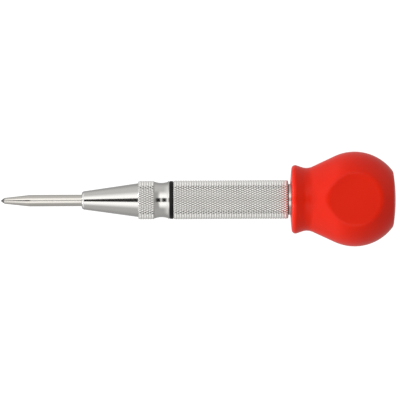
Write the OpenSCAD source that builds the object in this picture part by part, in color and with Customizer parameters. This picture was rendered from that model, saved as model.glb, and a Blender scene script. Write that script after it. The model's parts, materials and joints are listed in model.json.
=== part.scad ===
// Spring-loaded automatic punch used to set nails.
// The X axis is the tool's own axis: the point is at -X and the palm cap at +X.
// The origin is the middle of the knurled barrel, and +Z faces up when the tool lies on its cap's flat.
// Every outline is a list of [along the axis, radius] points that is turned about X.

/* [Lengths that show] */
// How far the punch pin stands out of the nose
pin_reach = 28.2; // [20:0.1:34]
// Length of the nose's cone, from its front face to the grip ring
cone_len = 19.8; // [17:0.1:26]
// Length of the knurled grip ring on the nose
grip_ring_len = 5.7; // [3:0.1:9]
// Length of the hollow waist behind the grip ring
waist_len = 4.8; // [3.8:0.1:6.5]
// Thickness of the thin flange behind the waist
flange_len = 0.4; // [0.3:0.05:1]
// Thickness of the black ring between nose and barrel
seal_len = 1.4; // [1.1:0.1:2.4]
// Length of the barrel's knurled grip
barrel_len = 40.1; // [36:0.1:48]
// Open gap between the barrel and the palm cap
cap_gap = 0.5; // [0.4:0.1:3]
// Length of the palm cap along the tool
cap_len = 37.1; // [36.5:0.1:38]

/* [Nose] */
// Diameter of the nose's front face before its edge is rounded
nose_front_d = 6.2; // [5.8:0.1:7.4]
// Rounding of the nose's front edge
nose_edge = 0.8; // [0.3:0.1:0.9]
// Diameter of the cone where it meets the grip ring
cone_back_d = 11.85; // [11:0.05:12.6]
// Diameter over the grip ring's knurl
grip_ring_d = 13.5; // [13:0.1:13.6]
// Chamfer of the grip ring's edges
grip_ring_edge = 0.35; // [0.2:0.05:0.6]
// Diameter at the bottom of the waist
waist_d = 12.05; // [11.7:0.05:12.4]
// Diameter of the waist at its two ends
waist_end_d = 12.9; // [12.6:0.05:13.1]
// Diameter of the thin flange
flange_d = 13.3; // [13.1:0.05:13.6]
// Length of the guide bore that carries the pin
guide_len = 12.8; // [10:0.1:14]
// Diameter of the chamber behind the guide bore
nose_bore_d = 7.8; // [7.6:0.1:8.2]
// Length of the nose's thread inside the barrel
nose_thread_len = 6.7; // [5:0.1:7.5]

/* [Barrel] */
// Diameter over the barrel's knurl
barrel_d = 13.6; // [13.6:0.1:15]
// Chamfer of the barrel's two ends
barrel_edge = 0.35; // [0.2:0.05:0.6]
// Outside diameter of both screw threads
thread_d = 11; // [10.8:0.05:11.3]
// Length of the threaded spigot behind the grip
spigot_len = 11.6; // [9:0.1:11.9]
// Diameter of the plain neck in front of the spigot's thread
relief_d = 10.8; // [10.4:0.1:10.8]
// Length of that plain neck
relief_len = 2; // [1:0.1:3]
// Chamfer at the spigot's free end
spigot_edge = 0.5; // [0.2:0.1:0.8]
// Diameter of the chamber that holds the return spring's wide end
chamber_d = 8; // [7.9:0.1:8.6]
// Length of that chamber
chamber_len = 3.2; // [2:0.1:4]
// Wide end of the cone that guides the release rod
entry_d = 6.2; // [5.8:0.1:6.3]
// Length of the guiding cone
entry_len = 4; // [3:0.1:5]
// Length of the throat
throat_len = 4; // [3:0.1:4.5]
// Diameter of the bore in which the hammer slides
hammer_bore_d = 8.4; // [8.2:0.1:8.8]

/* [Punch pin] */
// Diameter of the pin's shank
pin_d = 4; // [3.8:0.1:4.2]
// Length of the long taper behind the point
pin_taper_len = 8.7; // [6:0.1:12]
// Diameter where the taper meets the point
point_d = 2.1; // [1.6:0.1:2.6]
// Length of the point
point_len = 1.25; // [0.8:0.05:1.8]
// Width of the blunt spot at the very tip
tip_d = 0.4; // [0.2:0.1:0.8]
// Length of the stop collar
collar_len = 3; // [2:0.1:3.6]
// Diameter of the pin's tail behind the collar
pin_tail_d = 5.4; // [5.2:0.1:6]
// Length of the pin's tail
pin_tail_len = 6; // [4.6:0.1:6.5]
// Wall round the socket in the pin's tail
socket_wall = 0.8; // [0.7:0.05:0.9]
// Depth of the socket
socket_depth = 2.8; // [2:0.1:4]
// Chamfer of the collar's and the tail's edges
pin_edge = 0.3; // [0.1:0.05:0.4]
// How far the pin can be pushed in
stroke = 7; // [6:0.1:7]

/* [Release rod] */
// Diameter of the rod's thick part
rod_d = 4.2; // [4:0.05:4.3]
// How far the collar that carries the return spring stands out past the spring
rod_collar_lip = 0.2; // [0.1:0.05:0.4]
// Length of that collar
rod_collar_len = 1.2; // [0.8:0.1:1.6]
// Chamfer of the collar's and the stub's front edges
rod_edge = 0.3; // [0.1:0.05:0.5]
// Length of the shoulder between the thick part and the tail
shoulder_len = 1; // [0.6:0.1:1.5]
// Diameter of the rod's thin tail
rod_tail_d = 2.4; // [2.2:0.1:2.5]
// Lean of the rod at rest, in degrees
rod_lean_angle = 1.8; // [1.5:0.1:1.9]

/* [Hammer and springs] */
// Length of the hammer's body
hammer_len = 16; // [12:0.1:18]
// Chamfer of the hammer's two ends
hammer_edge = 0.3; // [0.1:0.05:0.5]
// Depth of the hole in the hammer's front, whose edge is left sharp for the rod
hammer_hole_depth = 6.5; // [5:0.1:8]
// Length of the pegs that hold the main spring at its ends
peg_len = 2.5; // [1.5:0.1:3.5]
// Chamfer of those pegs
peg_edge = 0.4; // [0.2:0.1:0.8]
// Length of the main spring at rest
main_spring_len = 28.6; // [26:0.1:29]
// Wire of the main spring
main_wire_d = 1.4; // [1.2:0.05:1.45]
// Turns of the main spring
main_turns = 13; // [9:1:13]
// Wire of the return spring
return_wire_d = 0.6; // [0.5:0.05:0.65]
// Turns of the return spring
return_turns = 8; // [5:1:9]

/* [Palm cap] */
// Diameter over the flared rim
rim_d = 24; // [23.4:0.1:25]
// Rounding of the rim's edge
rim_edge = 1.3; // [1:0.05:1.4]
// How far the cap's front face bulges forward of its rim
face_rise = 0.55; // [0.3:0.05:0.8]
// Diameter at the neck
neck_d = 22; // [21:0.1:22.4]
// Place of the neck behind the cap's front
neck_at = 5.8; // [5.6:0.1:6.8]
// Radius of the hollow round the neck
neck_hollow_r = 5; // [3.6:0.1:5.2]
// Diameter of the bulb
bulb_d = 33.2; // [32:0.1:35]
// Place of the bulb's centre behind the cap's front
bulb_at = 22.6; // [21.8:0.1:23.4]
// Diameter of the crown, where it leaves the bulb
crown_d = 19.2; // [18:0.1:20]
// Distance between the bulb's two round flats
flats_apart = 27.4; // [25:0.1:30]

/* [Thread insert and spring seat] */
// Wall of the metal insert round its thread
insert_wall = 2; // [1.7:0.1:3]
// Depth of the groove that locks the insert in the plastic
lock_groove_depth = 0.6; // [0.4:0.1:0.8]
// Length of that groove
lock_groove_len = 4; // [2:0.1:6]
// Place of that groove behind the insert's front
lock_groove_at = 9; // [6:0.1:12]
// Depth of the plastic lip in front of the insert
insert_recess = 1.2; // [0.8:0.1:1.6]
// Depth of the insert's thread
insert_thread_len = 12.6; // [11.9:0.1:14]
// Thickness of the insert's closed end
insert_end_len = 2.2; // [1.5:0.1:4]
// Chamfer of the insert's closed end
insert_edge = 0.4; // [0.2:0.1:0.8]
// Chamfer that leads the barrel's thread into the insert
insert_lead = 0.5; // [0.2:0.1:0.8]
// Thickness of the spring seat
seat_len = 2; // [1.2:0.1:3]
// Chamfer of the spring seat's back edge
seat_edge = 0.3; // [0.1:0.1:0.6]

/* [Fits] */
// Radial clearance of what slides or screws
slide_fit = 0.05; // [0.03:0.01:0.08]
// Gap where two loose faces meet
face_fit = 0.05; // [0.03:0.01:0.1]
// Play of the rod in the pin's socket, the throat and the hammer's hole
rod_play = 0.2; // [0.15:0.05:0.25]
// Radial play of the pin's collar in the nose
collar_play = 0.25; // [0.2:0.05:0.5]
// Radial gap between a spring and the bore round it
coil_play = 0.3; // [0.2:0.05:0.4]
// Radial gap between a spring and what stands inside it
core_play = 0.4; // [0.3:0.05:0.6]
// Radial gap between the barrel's thread and the cap's mouth
mouth_gap = 0.3; // [0.25:0.05:0.8]
// Gap between the rod's tail and the hammer at rest
tail_gap = 0.3; // [0.2:0.05:0.5]

/* [Hidden] */

// Sides of every turned shape
turned_sides = 96;
// Steps of a large arc and of a small one
bulb_steps = 24;
edge_steps = 6;
// Rings of wire to a turn, and sides of the wire
rings_per_turn = 12;
wire_sides = 6;
// How far a cut runs past the face that it opens
overrun = 0.5;

// Diameters that follow from what a piece fits
collar_d = nose_bore_d - 2 * collar_play;
socket_d = pin_tail_d - 2 * socket_wall;
stub_d = socket_d - 2 * rod_play;
throat_d = rod_d + 2 * rod_play;
hammer_hole_d = rod_tail_d + 2 * rod_play;
main_outer_d = hammer_bore_d - 2 * coil_play;
main_coil_d = main_outer_d - main_wire_d;
peg_d = main_coil_d - main_wire_d - 2 * core_play;
return_front_d = rod_d + return_wire_d + 2 * core_play;
return_back_d = chamber_d - return_wire_d - 2 * coil_play;
rod_collar_d = return_front_d + return_wire_d + 2 * rod_collar_lip;
thread_bore_d = thread_d + 2 * slide_fit;
mouth_d = thread_d + 2 * mouth_gap;
insert_d = thread_d + 2 * insert_wall;
lock_groove_d = insert_d - 2 * lock_groove_depth;

// Places along the axis, from the middle of the barrel outwards
barrel_front = -barrel_len / 2;
barrel_back = barrel_len / 2;
nose_back = barrel_front - seal_len;
flange_front = nose_back - flange_len;
ring_back = flange_front - waist_len;
ring_front = ring_back - grip_ring_len;
nose_front = ring_front - cone_len;
pin_tip = nose_front - pin_reach;
guide_back = nose_front + guide_len;
nose_thread_back = barrel_front + nose_thread_len;
spigot_back = barrel_back + spigot_len;
cap_front = barrel_back + cap_gap;
cap_back = cap_front + cap_len;

// The pin from its collar back
collar_front = guide_back + face_fit;
collar_back = collar_front + collar_len;
pin_back = collar_back + pin_tail_len;

// Steps of the bore inside the barrel
counterbore_back = nose_thread_back + tail_gap;
chamber_back = counterbore_back + chamber_len;
throat_front = chamber_back + entry_len;
throat_back = throat_front + throat_len;

// The rod reaches from the pin's socket to just short of the hammer
stub_front = pin_back - socket_depth + rod_play;
rod_collar_front = pin_back + rod_play;
rod_collar_back = rod_collar_front + rod_collar_len;
rod_shoulder_front = throat_front - stroke;
rod_shoulder_back = rod_shoulder_front + shoulder_len;
rod_back = throat_back - tail_gap;
rod_pivot = (stub_front + pin_back) / 2;

// The hammer, the main spring and the seat that the cap pushes on
hammer_front = throat_back + face_fit;
hammer_back = hammer_front + hammer_len;
seat_front = hammer_back + main_spring_len;
seat_back = seat_front + seat_len;
insert_front = cap_front + insert_recess;
insert_thread_back = insert_front + insert_thread_len;
insert_bottom = seat_back + face_fit;
insert_back = insert_bottom + insert_end_len;
lock_groove_front = insert_front + lock_groove_at;
lock_groove_back = lock_groove_front + lock_groove_len;

// Points of an arc about a centre, from one angle to another
function arc(centre, radius, first, last, steps) = [
    for (i = [0:steps])
        let (angle = first + (last - first) * i / steps)
        centre + radius * [cos(angle), sin(angle)]
];

// Angle at which the straight between two rounds of opposite curl leaves the first of them,
// where side is 1 or -1 for the tangent's side
function tangent_angle(first, first_r, second, second_r, side) =
    let (across = second - first)
    atan2(across[1], across[0]) + side * acos(min(1, (first_r + second_r) / norm(across)));

// Radius of a dome that rises by rise over a disc of radius edge_r
function dome_radius(rise, edge_r) = (edge_r * edge_r + rise * rise) / (2 * rise);

// Turns an outline about the X axis
module turned(outline) {
    rotate([0, 90, 0])
        rotate_extrude($fn = turned_sides)
            polygon([for (p = outline) [p[1], p[0]]]);
}

// A round bar, or the drill for a bore, along the X axis
module bar(from, to, d) {
    translate([from, 0, 0])
        rotate([0, 90, 0])
            cylinder(h = to - from, d = d, $fn = turned_sides);
}

// A coil spring of round wire about the X axis, with its wire ends cut square
module coil(from, to, front_d, back_d, wire_d, turns) {
    rings = turns * rings_per_turn;
    first = from + wire_d / 2 + face_fit;
    last = to - wire_d / 2 - face_fit;
    points = [
        for (i = [0:rings])
            let (
                share = i / rings,
                angle = 360 * turns * share,
                radius = (front_d + (back_d - front_d) * share) / 2,
                out = [0, cos(angle), sin(angle)],
                rise = (last - first) / (2 * PI * turns),
                along = [rise, -radius * sin(angle), radius * cos(angle)],
                side = cross(along / norm(along), out)
            )
            for (j = [0:wire_sides - 1])
                let (turn = 360 * j / wire_sides)
                [first + (last - first) * share, 0, 0]
                    + out * (radius + wire_d / 2 * cos(turn))
                    + side * wire_d / 2 * sin(turn)
    ];
    walls = [
        for (i = [0:rings - 1])
            for (j = [0:wire_sides - 1])
                let (
                    a = i * wire_sides + j,
                    b = i * wire_sides + (j + 1) % wire_sides
                )
                each [[a, b, b + wire_sides], [a, b + wire_sides, a + wire_sides]]
    ];
    front_end = [for (j = [1:wire_sides - 2]) [0, j + 1, j]];
    last_ring = rings * wire_sides;
    back_end = [for (j = [1:wire_sides - 2]) [last_ring, last_ring + j, last_ring + j + 1]];
    polyhedron(points, concat(walls, front_end, back_end));
}

// Steel punch pin: point, long taper, shank, stop collar and socketed tail
module punch_pin() {
    color("silver")
        difference() {
            turned([
                [pin_tip, 0],
                [pin_tip, tip_d / 2],
                [pin_tip + point_len, point_d / 2],
                [pin_tip + point_len + pin_taper_len, pin_d / 2],
                [collar_front, pin_d / 2],
                [collar_front, collar_d / 2 - pin_edge],
                [collar_front + pin_edge, collar_d / 2],
                [collar_back - pin_edge, collar_d / 2],
                [collar_back, collar_d / 2 - pin_edge],
                [collar_back, pin_tail_d / 2],
                [pin_back - pin_edge, pin_tail_d / 2],
                [pin_back, pin_tail_d / 2 - pin_edge],
                [pin_back, 0]
            ]);
            bar(pin_back - socket_depth, pin_back + overrun, socket_d);
        }
}

// Light tapered spring that pushes the pin out and keeps the rod leaning
module return_spring() {
    color("dimgray")
        coil(rod_collar_back, chamber_back, return_front_d, return_back_d, return_wire_d, return_turns);
}

// Stepped rod between pin and hammer, drawn leaning as it does at rest
module release_rod() {
    color("gray")
        translate([rod_pivot, 0, 0])
            rotate([0, -rod_lean_angle, 0])
                translate([-rod_pivot, 0, 0])
                    turned([
                        [stub_front, 0],
                        [stub_front, stub_d / 2 - rod_edge],
                        [stub_front + rod_edge, stub_d / 2],
                        [rod_collar_front, stub_d / 2],
                        [rod_collar_front, rod_collar_d / 2 - rod_edge],
                        [rod_collar_front + rod_edge, rod_collar_d / 2],
                        [rod_collar_back, rod_collar_d / 2],
                        [rod_collar_back, rod_d / 2],
                        [rod_shoulder_front, rod_d / 2],
                        [rod_shoulder_back, rod_tail_d / 2],
                        [rod_back, rod_tail_d / 2],
                        [rod_back, 0]
                    ]);
}

// Chromed nose: cone, grip ring, hollow waist, thin flange and the thread that screws into the barrel
module nose_cone() {
    waist_mid = (ring_back + flange_front) / 2;
    waist_dip = (waist_end_d - waist_d) / 2;
    waist_r = dome_radius(waist_dip, waist_len / 2);
    waist_angle = asin(waist_len / 2 / waist_r);
    color("gainsboro")
        difference() {
            turned(concat(
                [[nose_front, 0]],
                arc([nose_front + nose_edge, nose_front_d / 2 - nose_edge], nose_edge, 180, 90, edge_steps),
                [
                    [ring_front, cone_back_d / 2],
                    [ring_front, grip_ring_d / 2 - grip_ring_edge],
                    [ring_front + grip_ring_edge, grip_ring_d / 2],
                    [ring_back - grip_ring_edge, grip_ring_d / 2]
                ],
                arc([waist_mid, waist_d / 2 + waist_r], waist_r, 270 - waist_angle, 270 + waist_angle,
                    2 * edge_steps),
                [
                    [flange_front, flange_d / 2],
                    [nose_back, flange_d / 2],
                    [nose_back, thread_d / 2],
                    [nose_thread_back, thread_d / 2],
                    [nose_thread_back, 0]
                ]
            ));
            bar(nose_front - overrun, guide_back + overrun, pin_d + 2 * slide_fit);
            bar(guide_back, nose_thread_back + overrun, nose_bore_d);
        }
}

// Black rubber ring squeezed between the nose's flange and the barrel
module nose_seal() {
    seal_r = flange_d / 2;
    seal_edge = seal_len / 3;
    color("black")
        difference() {
            turned(concat(
                [[nose_back, 0]],
                arc([nose_back + seal_edge, seal_r - seal_edge], seal_edge, 180, 90, edge_steps),
                arc([barrel_front - seal_edge, seal_r - seal_edge], seal_edge, 90, 0, edge_steps),
                [[barrel_front, 0]]
            ));
            bar(nose_back - overrun, barrel_front + overrun, thread_bore_d);
        }
}

// Chromed barrel: grip outside, and inside the stepped bore with the throat that trips the rod
module barrel() {
    color("lightgray")
        difference() {
            turned([
                [barrel_front, 0],
                [barrel_front, barrel_d / 2 - barrel_edge],
                [barrel_front + barrel_edge, barrel_d / 2],
                [barrel_back - barrel_edge, barrel_d / 2],
                [barrel_back, barrel_d / 2 - barrel_edge],
                [barrel_back, relief_d / 2],
                [barrel_back + relief_len, relief_d / 2],
                [barrel_back + relief_len, thread_d / 2],
                [spigot_back - spigot_edge, thread_d / 2],
                [spigot_back, thread_d / 2 - spigot_edge],
                [spigot_back, 0]
            ]);
            turned([
                [barrel_front - overrun, 0],
                [barrel_front - overrun, thread_bore_d / 2],
                [counterbore_back, thread_bore_d / 2],
                [counterbore_back, chamber_d / 2],
                [chamber_back, chamber_d / 2],
                [chamber_back, entry_d / 2],
                [throat_front, throat_d / 2],
                [throat_back, throat_d / 2],
                [throat_back, hammer_bore_d / 2],
                [spigot_back + overrun, hammer_bore_d / 2],
                [spigot_back + overrun, 0]
            ]);
        }
}

// Hardened hammer with the hole that swallows the rod's tail, and a peg for the main spring
module hammer() {
    hammer_r = hammer_bore_d / 2 - slide_fit;
    color("slategray")
        difference() {
            turned([
                [hammer_front, 0],
                [hammer_front, hammer_r - hammer_edge],
                [hammer_front + hammer_edge, hammer_r],
                [hammer_back - hammer_edge, hammer_r],
                [hammer_back, hammer_r - hammer_edge],
                [hammer_back, peg_d / 2],
                [hammer_back + peg_len - peg_edge, peg_d / 2],
                [hammer_back + peg_len, peg_d / 2 - peg_edge],
                [hammer_back + peg_len, 0]
            ]);
            bar(hammer_front - overrun, hammer_front + hammer_hole_depth, hammer_hole_d);
        }
}

// Heavy spring between the hammer and the seat in the cap
module main_spring() {
    color("darkgray")
        coil(hammer_back, seat_front, main_coil_d, main_coil_d, main_wire_d, main_turns);
}

// Disc and peg that carry the main spring's back end
module spring_seat() {
    color("goldenrod")
        turned([
            [seat_front - peg_len, 0],
            [seat_front - peg_len, peg_d / 2 - peg_edge],
            [seat_front - peg_len + peg_edge, peg_d / 2],
            [seat_front, peg_d / 2],
            [seat_front, main_outer_d / 2],
            [seat_back - seat_edge, main_outer_d / 2],
            [seat_back, main_outer_d / 2 - seat_edge],
            [seat_back, 0]
        ]);
}

// Outside of the metal insert, which is also the hollow that it leaves in the plastic
module insert_form() {
    turned([
        [insert_front, 0],
        [insert_front, insert_d / 2],
        [lock_groove_front, insert_d / 2],
        [lock_groove_front, lock_groove_d / 2],
        [lock_groove_back, lock_groove_d / 2],
        [lock_groove_back, insert_d / 2],
        [insert_back - insert_edge, insert_d / 2],
        [insert_back, insert_d / 2 - insert_edge],
        [insert_back, 0]
    ]);
}

// Threaded metal cup that is moulded into the cap and screws onto the barrel
module thread_insert() {
    color("darkkhaki")
        difference() {
            insert_form();
            turned([
                [insert_front - overrun, 0],
                [insert_front - overrun, thread_bore_d / 2 + insert_lead + overrun],
                [insert_front + insert_lead, thread_bore_d / 2],
                [insert_thread_back, thread_bore_d / 2],
                [insert_thread_back, hammer_bore_d / 2],
                [insert_bottom, hammer_bore_d / 2],
                [insert_bottom, 0]
            ]);
        }
}

// Outline of the palm cap: domed face, flared rim, neck, flank, bulb and domed crown
function cap_outline() =
    let (
        rim_centre = [cap_front + face_rise + rim_edge, rim_d / 2 - rim_edge],
        neck_centre = [cap_front + neck_at, neck_d / 2 + neck_hollow_r],
        bulb_centre = [cap_front + bulb_at, 0],
        bulb_r = bulb_d / 2,
        rim_angle = tangent_angle(rim_centre, rim_edge, neck_centre, neck_hollow_r, 1),
        flank_angle = tangent_angle(bulb_centre, bulb_r, neck_centre, neck_hollow_r, -1),
        crown_angle = asin(crown_d / 2 / bulb_r),
        face_r = dome_radius(face_rise, rim_centre[1]),
        face_angle = asin(rim_centre[1] / face_r),
        crown_rise = cap_back - bulb_centre[0] - bulb_r * cos(crown_angle),
        crown_r = dome_radius(crown_rise, crown_d / 2),
        crown_end = asin(crown_d / 2 / crown_r)
    )
    concat(
        arc([cap_front + face_r, 0], face_r, 180, 180 - face_angle, edge_steps),
        arc(rim_centre, rim_edge, 180, rim_angle, edge_steps),
        arc(neck_centre, neck_hollow_r, 180 + rim_angle, 180 + flank_angle, edge_steps),
        arc(bulb_centre, bulb_r, flank_angle, crown_angle, bulb_steps),
        arc([cap_back - crown_r, 0], crown_r, crown_end, 0, edge_steps)
    );

// Red palm cap with its two round flats, moulded round the insert
module palm_cap() {
    color("red")
        difference() {
            turned(cap_outline());
            insert_form();
            bar(cap_front - overrun, insert_thread_back, mouth_d);
            for (side = [-1, 1])
                translate([cap_front + bulb_at, 0, side * (flats_apart + bulb_d) / 2])
                    cube([2 * bulb_d, 2 * bulb_d, bulb_d], center = true);
        }
}

punch_pin();
return_spring();
release_rod();
nose_cone();
nose_seal();
barrel();
hammer();
main_spring();
spring_seat();
thread_insert();
palm_cap();
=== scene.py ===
"""Automatic nail setter: the finished surfaces of the tool, its studio and its camera.

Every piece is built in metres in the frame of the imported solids. X runs along the tool's axis, from
the point at -X to the palm cap at +X, and Z is up when the tool lies on the flat of its cap.
"""

from __future__ import annotations

import json
import logging
import math
from dataclasses import dataclass, field
from enum import Enum
from typing import Any

import bpy
from mathutils import Matrix, Vector

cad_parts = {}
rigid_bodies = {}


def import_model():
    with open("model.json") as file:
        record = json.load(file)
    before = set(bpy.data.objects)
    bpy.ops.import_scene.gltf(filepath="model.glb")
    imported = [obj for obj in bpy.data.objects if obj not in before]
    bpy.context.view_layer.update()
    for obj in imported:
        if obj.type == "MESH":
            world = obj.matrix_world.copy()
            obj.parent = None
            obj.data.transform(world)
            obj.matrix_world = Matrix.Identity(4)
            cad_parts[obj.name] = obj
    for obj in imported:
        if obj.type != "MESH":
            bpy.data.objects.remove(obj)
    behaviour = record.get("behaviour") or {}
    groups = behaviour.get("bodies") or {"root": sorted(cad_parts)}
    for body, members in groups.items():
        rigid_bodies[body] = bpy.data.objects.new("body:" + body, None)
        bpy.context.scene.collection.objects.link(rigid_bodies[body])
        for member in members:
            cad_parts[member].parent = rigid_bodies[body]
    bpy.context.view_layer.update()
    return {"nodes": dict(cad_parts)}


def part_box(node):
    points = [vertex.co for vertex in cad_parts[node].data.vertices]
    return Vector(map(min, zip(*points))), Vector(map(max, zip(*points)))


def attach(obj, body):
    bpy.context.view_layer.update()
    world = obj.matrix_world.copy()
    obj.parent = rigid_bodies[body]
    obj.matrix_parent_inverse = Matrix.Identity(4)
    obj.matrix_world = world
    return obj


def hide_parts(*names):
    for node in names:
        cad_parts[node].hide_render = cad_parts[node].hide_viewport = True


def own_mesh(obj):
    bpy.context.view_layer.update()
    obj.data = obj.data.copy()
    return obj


LOG = logging.getLogger("nail_setter")

# One millimetre in metres, and one turn in radians
MM = 0.001
TURN = 2 * math.pi
# Sides of a turned piece, which are also the columns of its knurl and threads
SIDES = 288
# Edges sharper than this stay sharp in the shading
CREASE = math.radians(32)
# A point of an outline that is nearer to the axis than this lies on it
ON_AXIS = 1e-7
# Stands in for a corner's rounding at a point of a curve, which is taken as it is
CURVED = -1.0
# Share of a straight that the roundings at its two ends may fill
FILLED = 0.96

Colour = tuple[float, float, float]
Place = tuple[float, float, float]
# A place along the axis and a radius, and for a corner also the reach of its rounding
Point = tuple[float, float]
Corner = tuple[float, float, float]
# Two values between which something changes
Span = tuple[float, float]


class Body(Enum):
    """The bodies that the finished pieces ride on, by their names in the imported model."""

    BARREL = "barrel"
    PUNCH = "punch"
    CAP = "cap"


class Slot(Enum):
    """The material slots of the finished pieces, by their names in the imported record."""

    PIN_STEEL = "pin_steel"
    CHROME = "chrome"
    BARREL_CHROME = "barrel_chrome"
    BLACK_RUBBER = "black_rubber"
    SPRING_STEEL = "spring_steel"
    RED_PLASTIC = "red_plastic"


@dataclass(frozen=True)
class Grain:
    """A noise on a piece: its grains to a metre along and across the tool, and its octaves."""

    along: float
    across: float
    octaves: float


@dataclass(frozen=True)
class Term:
    """One output socket of a node tree. Python's operators on it add Math nodes."""

    sheet: Sheet
    socket: bpy.types.NodeSocket

    def __add__(self, other: Number) -> Term:
        """Adds a number or another term."""
        return self.sheet.math("ADD", self, other)

    def __radd__(self, other: Number) -> Term:
        """Adds this term to a number."""
        return self.sheet.math("ADD", other, self)

    def __sub__(self, other: Number) -> Term:
        """Takes a number or another term away."""
        return self.sheet.math("SUBTRACT", self, other)

    def __rsub__(self, other: Number) -> Term:
        """Takes this term away from a number."""
        return self.sheet.math("SUBTRACT", other, self)

    def __mul__(self, other: Number) -> Term:
        """Multiplies by a number or another term."""
        return self.sheet.math("MULTIPLY", self, other)

    def __rmul__(self, other: Number) -> Term:
        """Multiplies a number by this term."""
        return self.sheet.math("MULTIPLY", other, self)

    def __truediv__(self, other: Number) -> Term:
        """Divides by a number or another term."""
        return self.sheet.math("DIVIDE", self, other)

    def __abs__(self) -> Term:
        """The term without its sign."""
        return self.sheet.math("ABSOLUTE", self)


Number = float | Term


class Sheet:
    """Writes the nodes of one tree, for a material, the sky or Geometry Nodes."""

    def __init__(self, tree: bpy.types.NodeTree) -> None:
        """Empties the tree that the nodes go into."""
        self.tree = tree
        tree.nodes.clear()

    def node(
        self,
        kind: str,
        inputs: dict[str | int, Any] | None = None,
        settings: dict[str, Any] | None = None,
        output: str | int = 0,
    ) -> Term:
        """Adds one node.

        Args:
            kind: The node's type.
            inputs: Values or terms for its sockets, by name or number.
            settings: Its own properties, which are set before its sockets.
            output: Name or number of the output that is wanted.

        Returns:
            The wanted output.
        """
        made = self.tree.nodes.new(kind)
        for name, value in (settings or {}).items():
            setattr(made, name, value)
        for name, value in (inputs or {}).items():
            for item in value if isinstance(value, list) else [value]:
                self._feed(made.inputs[name], item)
        return Term(self, made.outputs[output] if made.outputs else None)

    def _feed(self, socket: bpy.types.NodeSocket, value: Any) -> None:
        """Links a term to a socket, or sets the socket's own value.

        Args:
            socket: The socket.
            value: The term or the value.
        """
        if isinstance(value, Term):
            self.tree.links.new(value.socket, socket)
        elif socket.type == "RGBA":
            socket.default_value = (*value[:3], 1.0)
        else:
            socket.default_value = value

    def math(self, operation: str, *values: Number) -> Term:
        """Adds a Math node on one, two or three values."""
        return self.node("ShaderNodeMath", dict(enumerate(values)), {"operation": operation})

    def clamp(self, value: Number, low: float = 0.0, high: float = 1.0) -> Term:
        """Holds a value between two limits."""
        return self.math("MINIMUM", self.math("MAXIMUM", value, low), high)

    def ramp(self, value: Number, low: float, high: float) -> Term:
        """Rises smoothly from 0 at low to 1 at high, which may lie below low."""
        inputs = {"Value": value, "From Min": low, "From Max": high, "To Min": 0.0, "To Max": 1.0}
        return self.node("ShaderNodeMapRange", inputs, {"interpolation_type": "SMOOTHSTEP"})

    def blend(self, share: Number, first: Term | Colour, second: Term | Colour) -> Term:
        """Mixes two colours: the first at share 0 and the second at share 1."""
        # Inputs 6 and 7 and output 2 are the node's sockets for colours
        settings = {"data_type": "RGBA", "clamp_factor": True}
        return self.node("ShaderNodeMix", {0: share, 6: first, 7: second}, settings, output=2)

    def fade(self, share: Term, first: Number, second: Number) -> Term:
        """Mixes two values: the first at share 0 and the second at share 1."""
        return first + (second - first) * share

    def place(self) -> Term:
        """The place on the piece, in metres in the tool's own frame."""
        return self.node("ShaderNodeTexCoord", output="Object")

    def axes(self, vector: Term) -> tuple[Term, Term, Term]:
        """Splits a vector into its three parts."""
        part = self.node("ShaderNodeSeparateXYZ", {0: vector})
        return tuple(Term(self, socket) for socket in part.socket.node.outputs)

    def grain(self, grain: Grain) -> Term:
        """Writes a noise.

        Args:
            grain: The noise.

        Returns:
            A term from about 0 to 1, mostly near one half.
        """
        scale = (grain.along, grain.across, grain.across)
        stretched = self.node("ShaderNodeMapping", {"Vector": self.place(), "Scale": scale})
        inputs = {"Vector": stretched, "Scale": 1.0, "Detail": grain.octaves}
        return self.node("ShaderNodeTexNoise", inputs)

    def swing(self, noise: Term, width: float) -> Term:
        """A noise's swing to both sides of 0, as wide as width."""
        return (noise - 0.5) * width

    def radius(self) -> Term:
        """Distance from the tool's axis, in metres."""
        _, y, z = self.axes(self.place())
        return self.math("SQRT", y * y + z * z)

    def relief(self, height: Term, depth: float) -> Term:
        """The normal of a surface whose height goes from 0 to 1, which are depth metres apart."""
        return self.node("ShaderNodeBump", {"Height": height, "Distance": depth, "Strength": 1.0})


def shades(colour: Colour, shares: Span) -> list[Colour]:
    """A darker and a lighter shade of a colour, by their shares of it."""
    return [tuple(part * share for part in colour) for share in shares]


@dataclass(frozen=True)
class Finish:
    """A surface finish. Each kind writes its own nodes in paint.

    A value named haze is what a mark adds to the roughness, and a depth is in metres.
    """

    name: str

    def paint(self, sheet: Sheet) -> dict[str, Any]:
        """Writes the finish's nodes and gives the values of the shader's sockets."""
        raise NotImplementedError

    def material(self) -> bpy.types.Material:
        """Makes the Blender material of this finish, or finds the one that was made before.

        Returns:
            The material.
        """
        made = bpy.data.materials.get(self.name)
        if made is None:
            made = bpy.data.materials.new(self.name)
            made.use_nodes = True
            sheet = Sheet(made.node_tree)
            shader = sheet.node("ShaderNodeBsdfPrincipled", self.paint(sheet))
            sheet.node("ShaderNodeOutputMaterial", {"Surface": shader})
        return made


@dataclass(frozen=True)
class Cut:
    """A band of grooves: its ends along the axis, its crests' radius, its depth and its polish."""

    start: float
    end: float
    crest: float
    depth: float
    roughness: float


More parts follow.
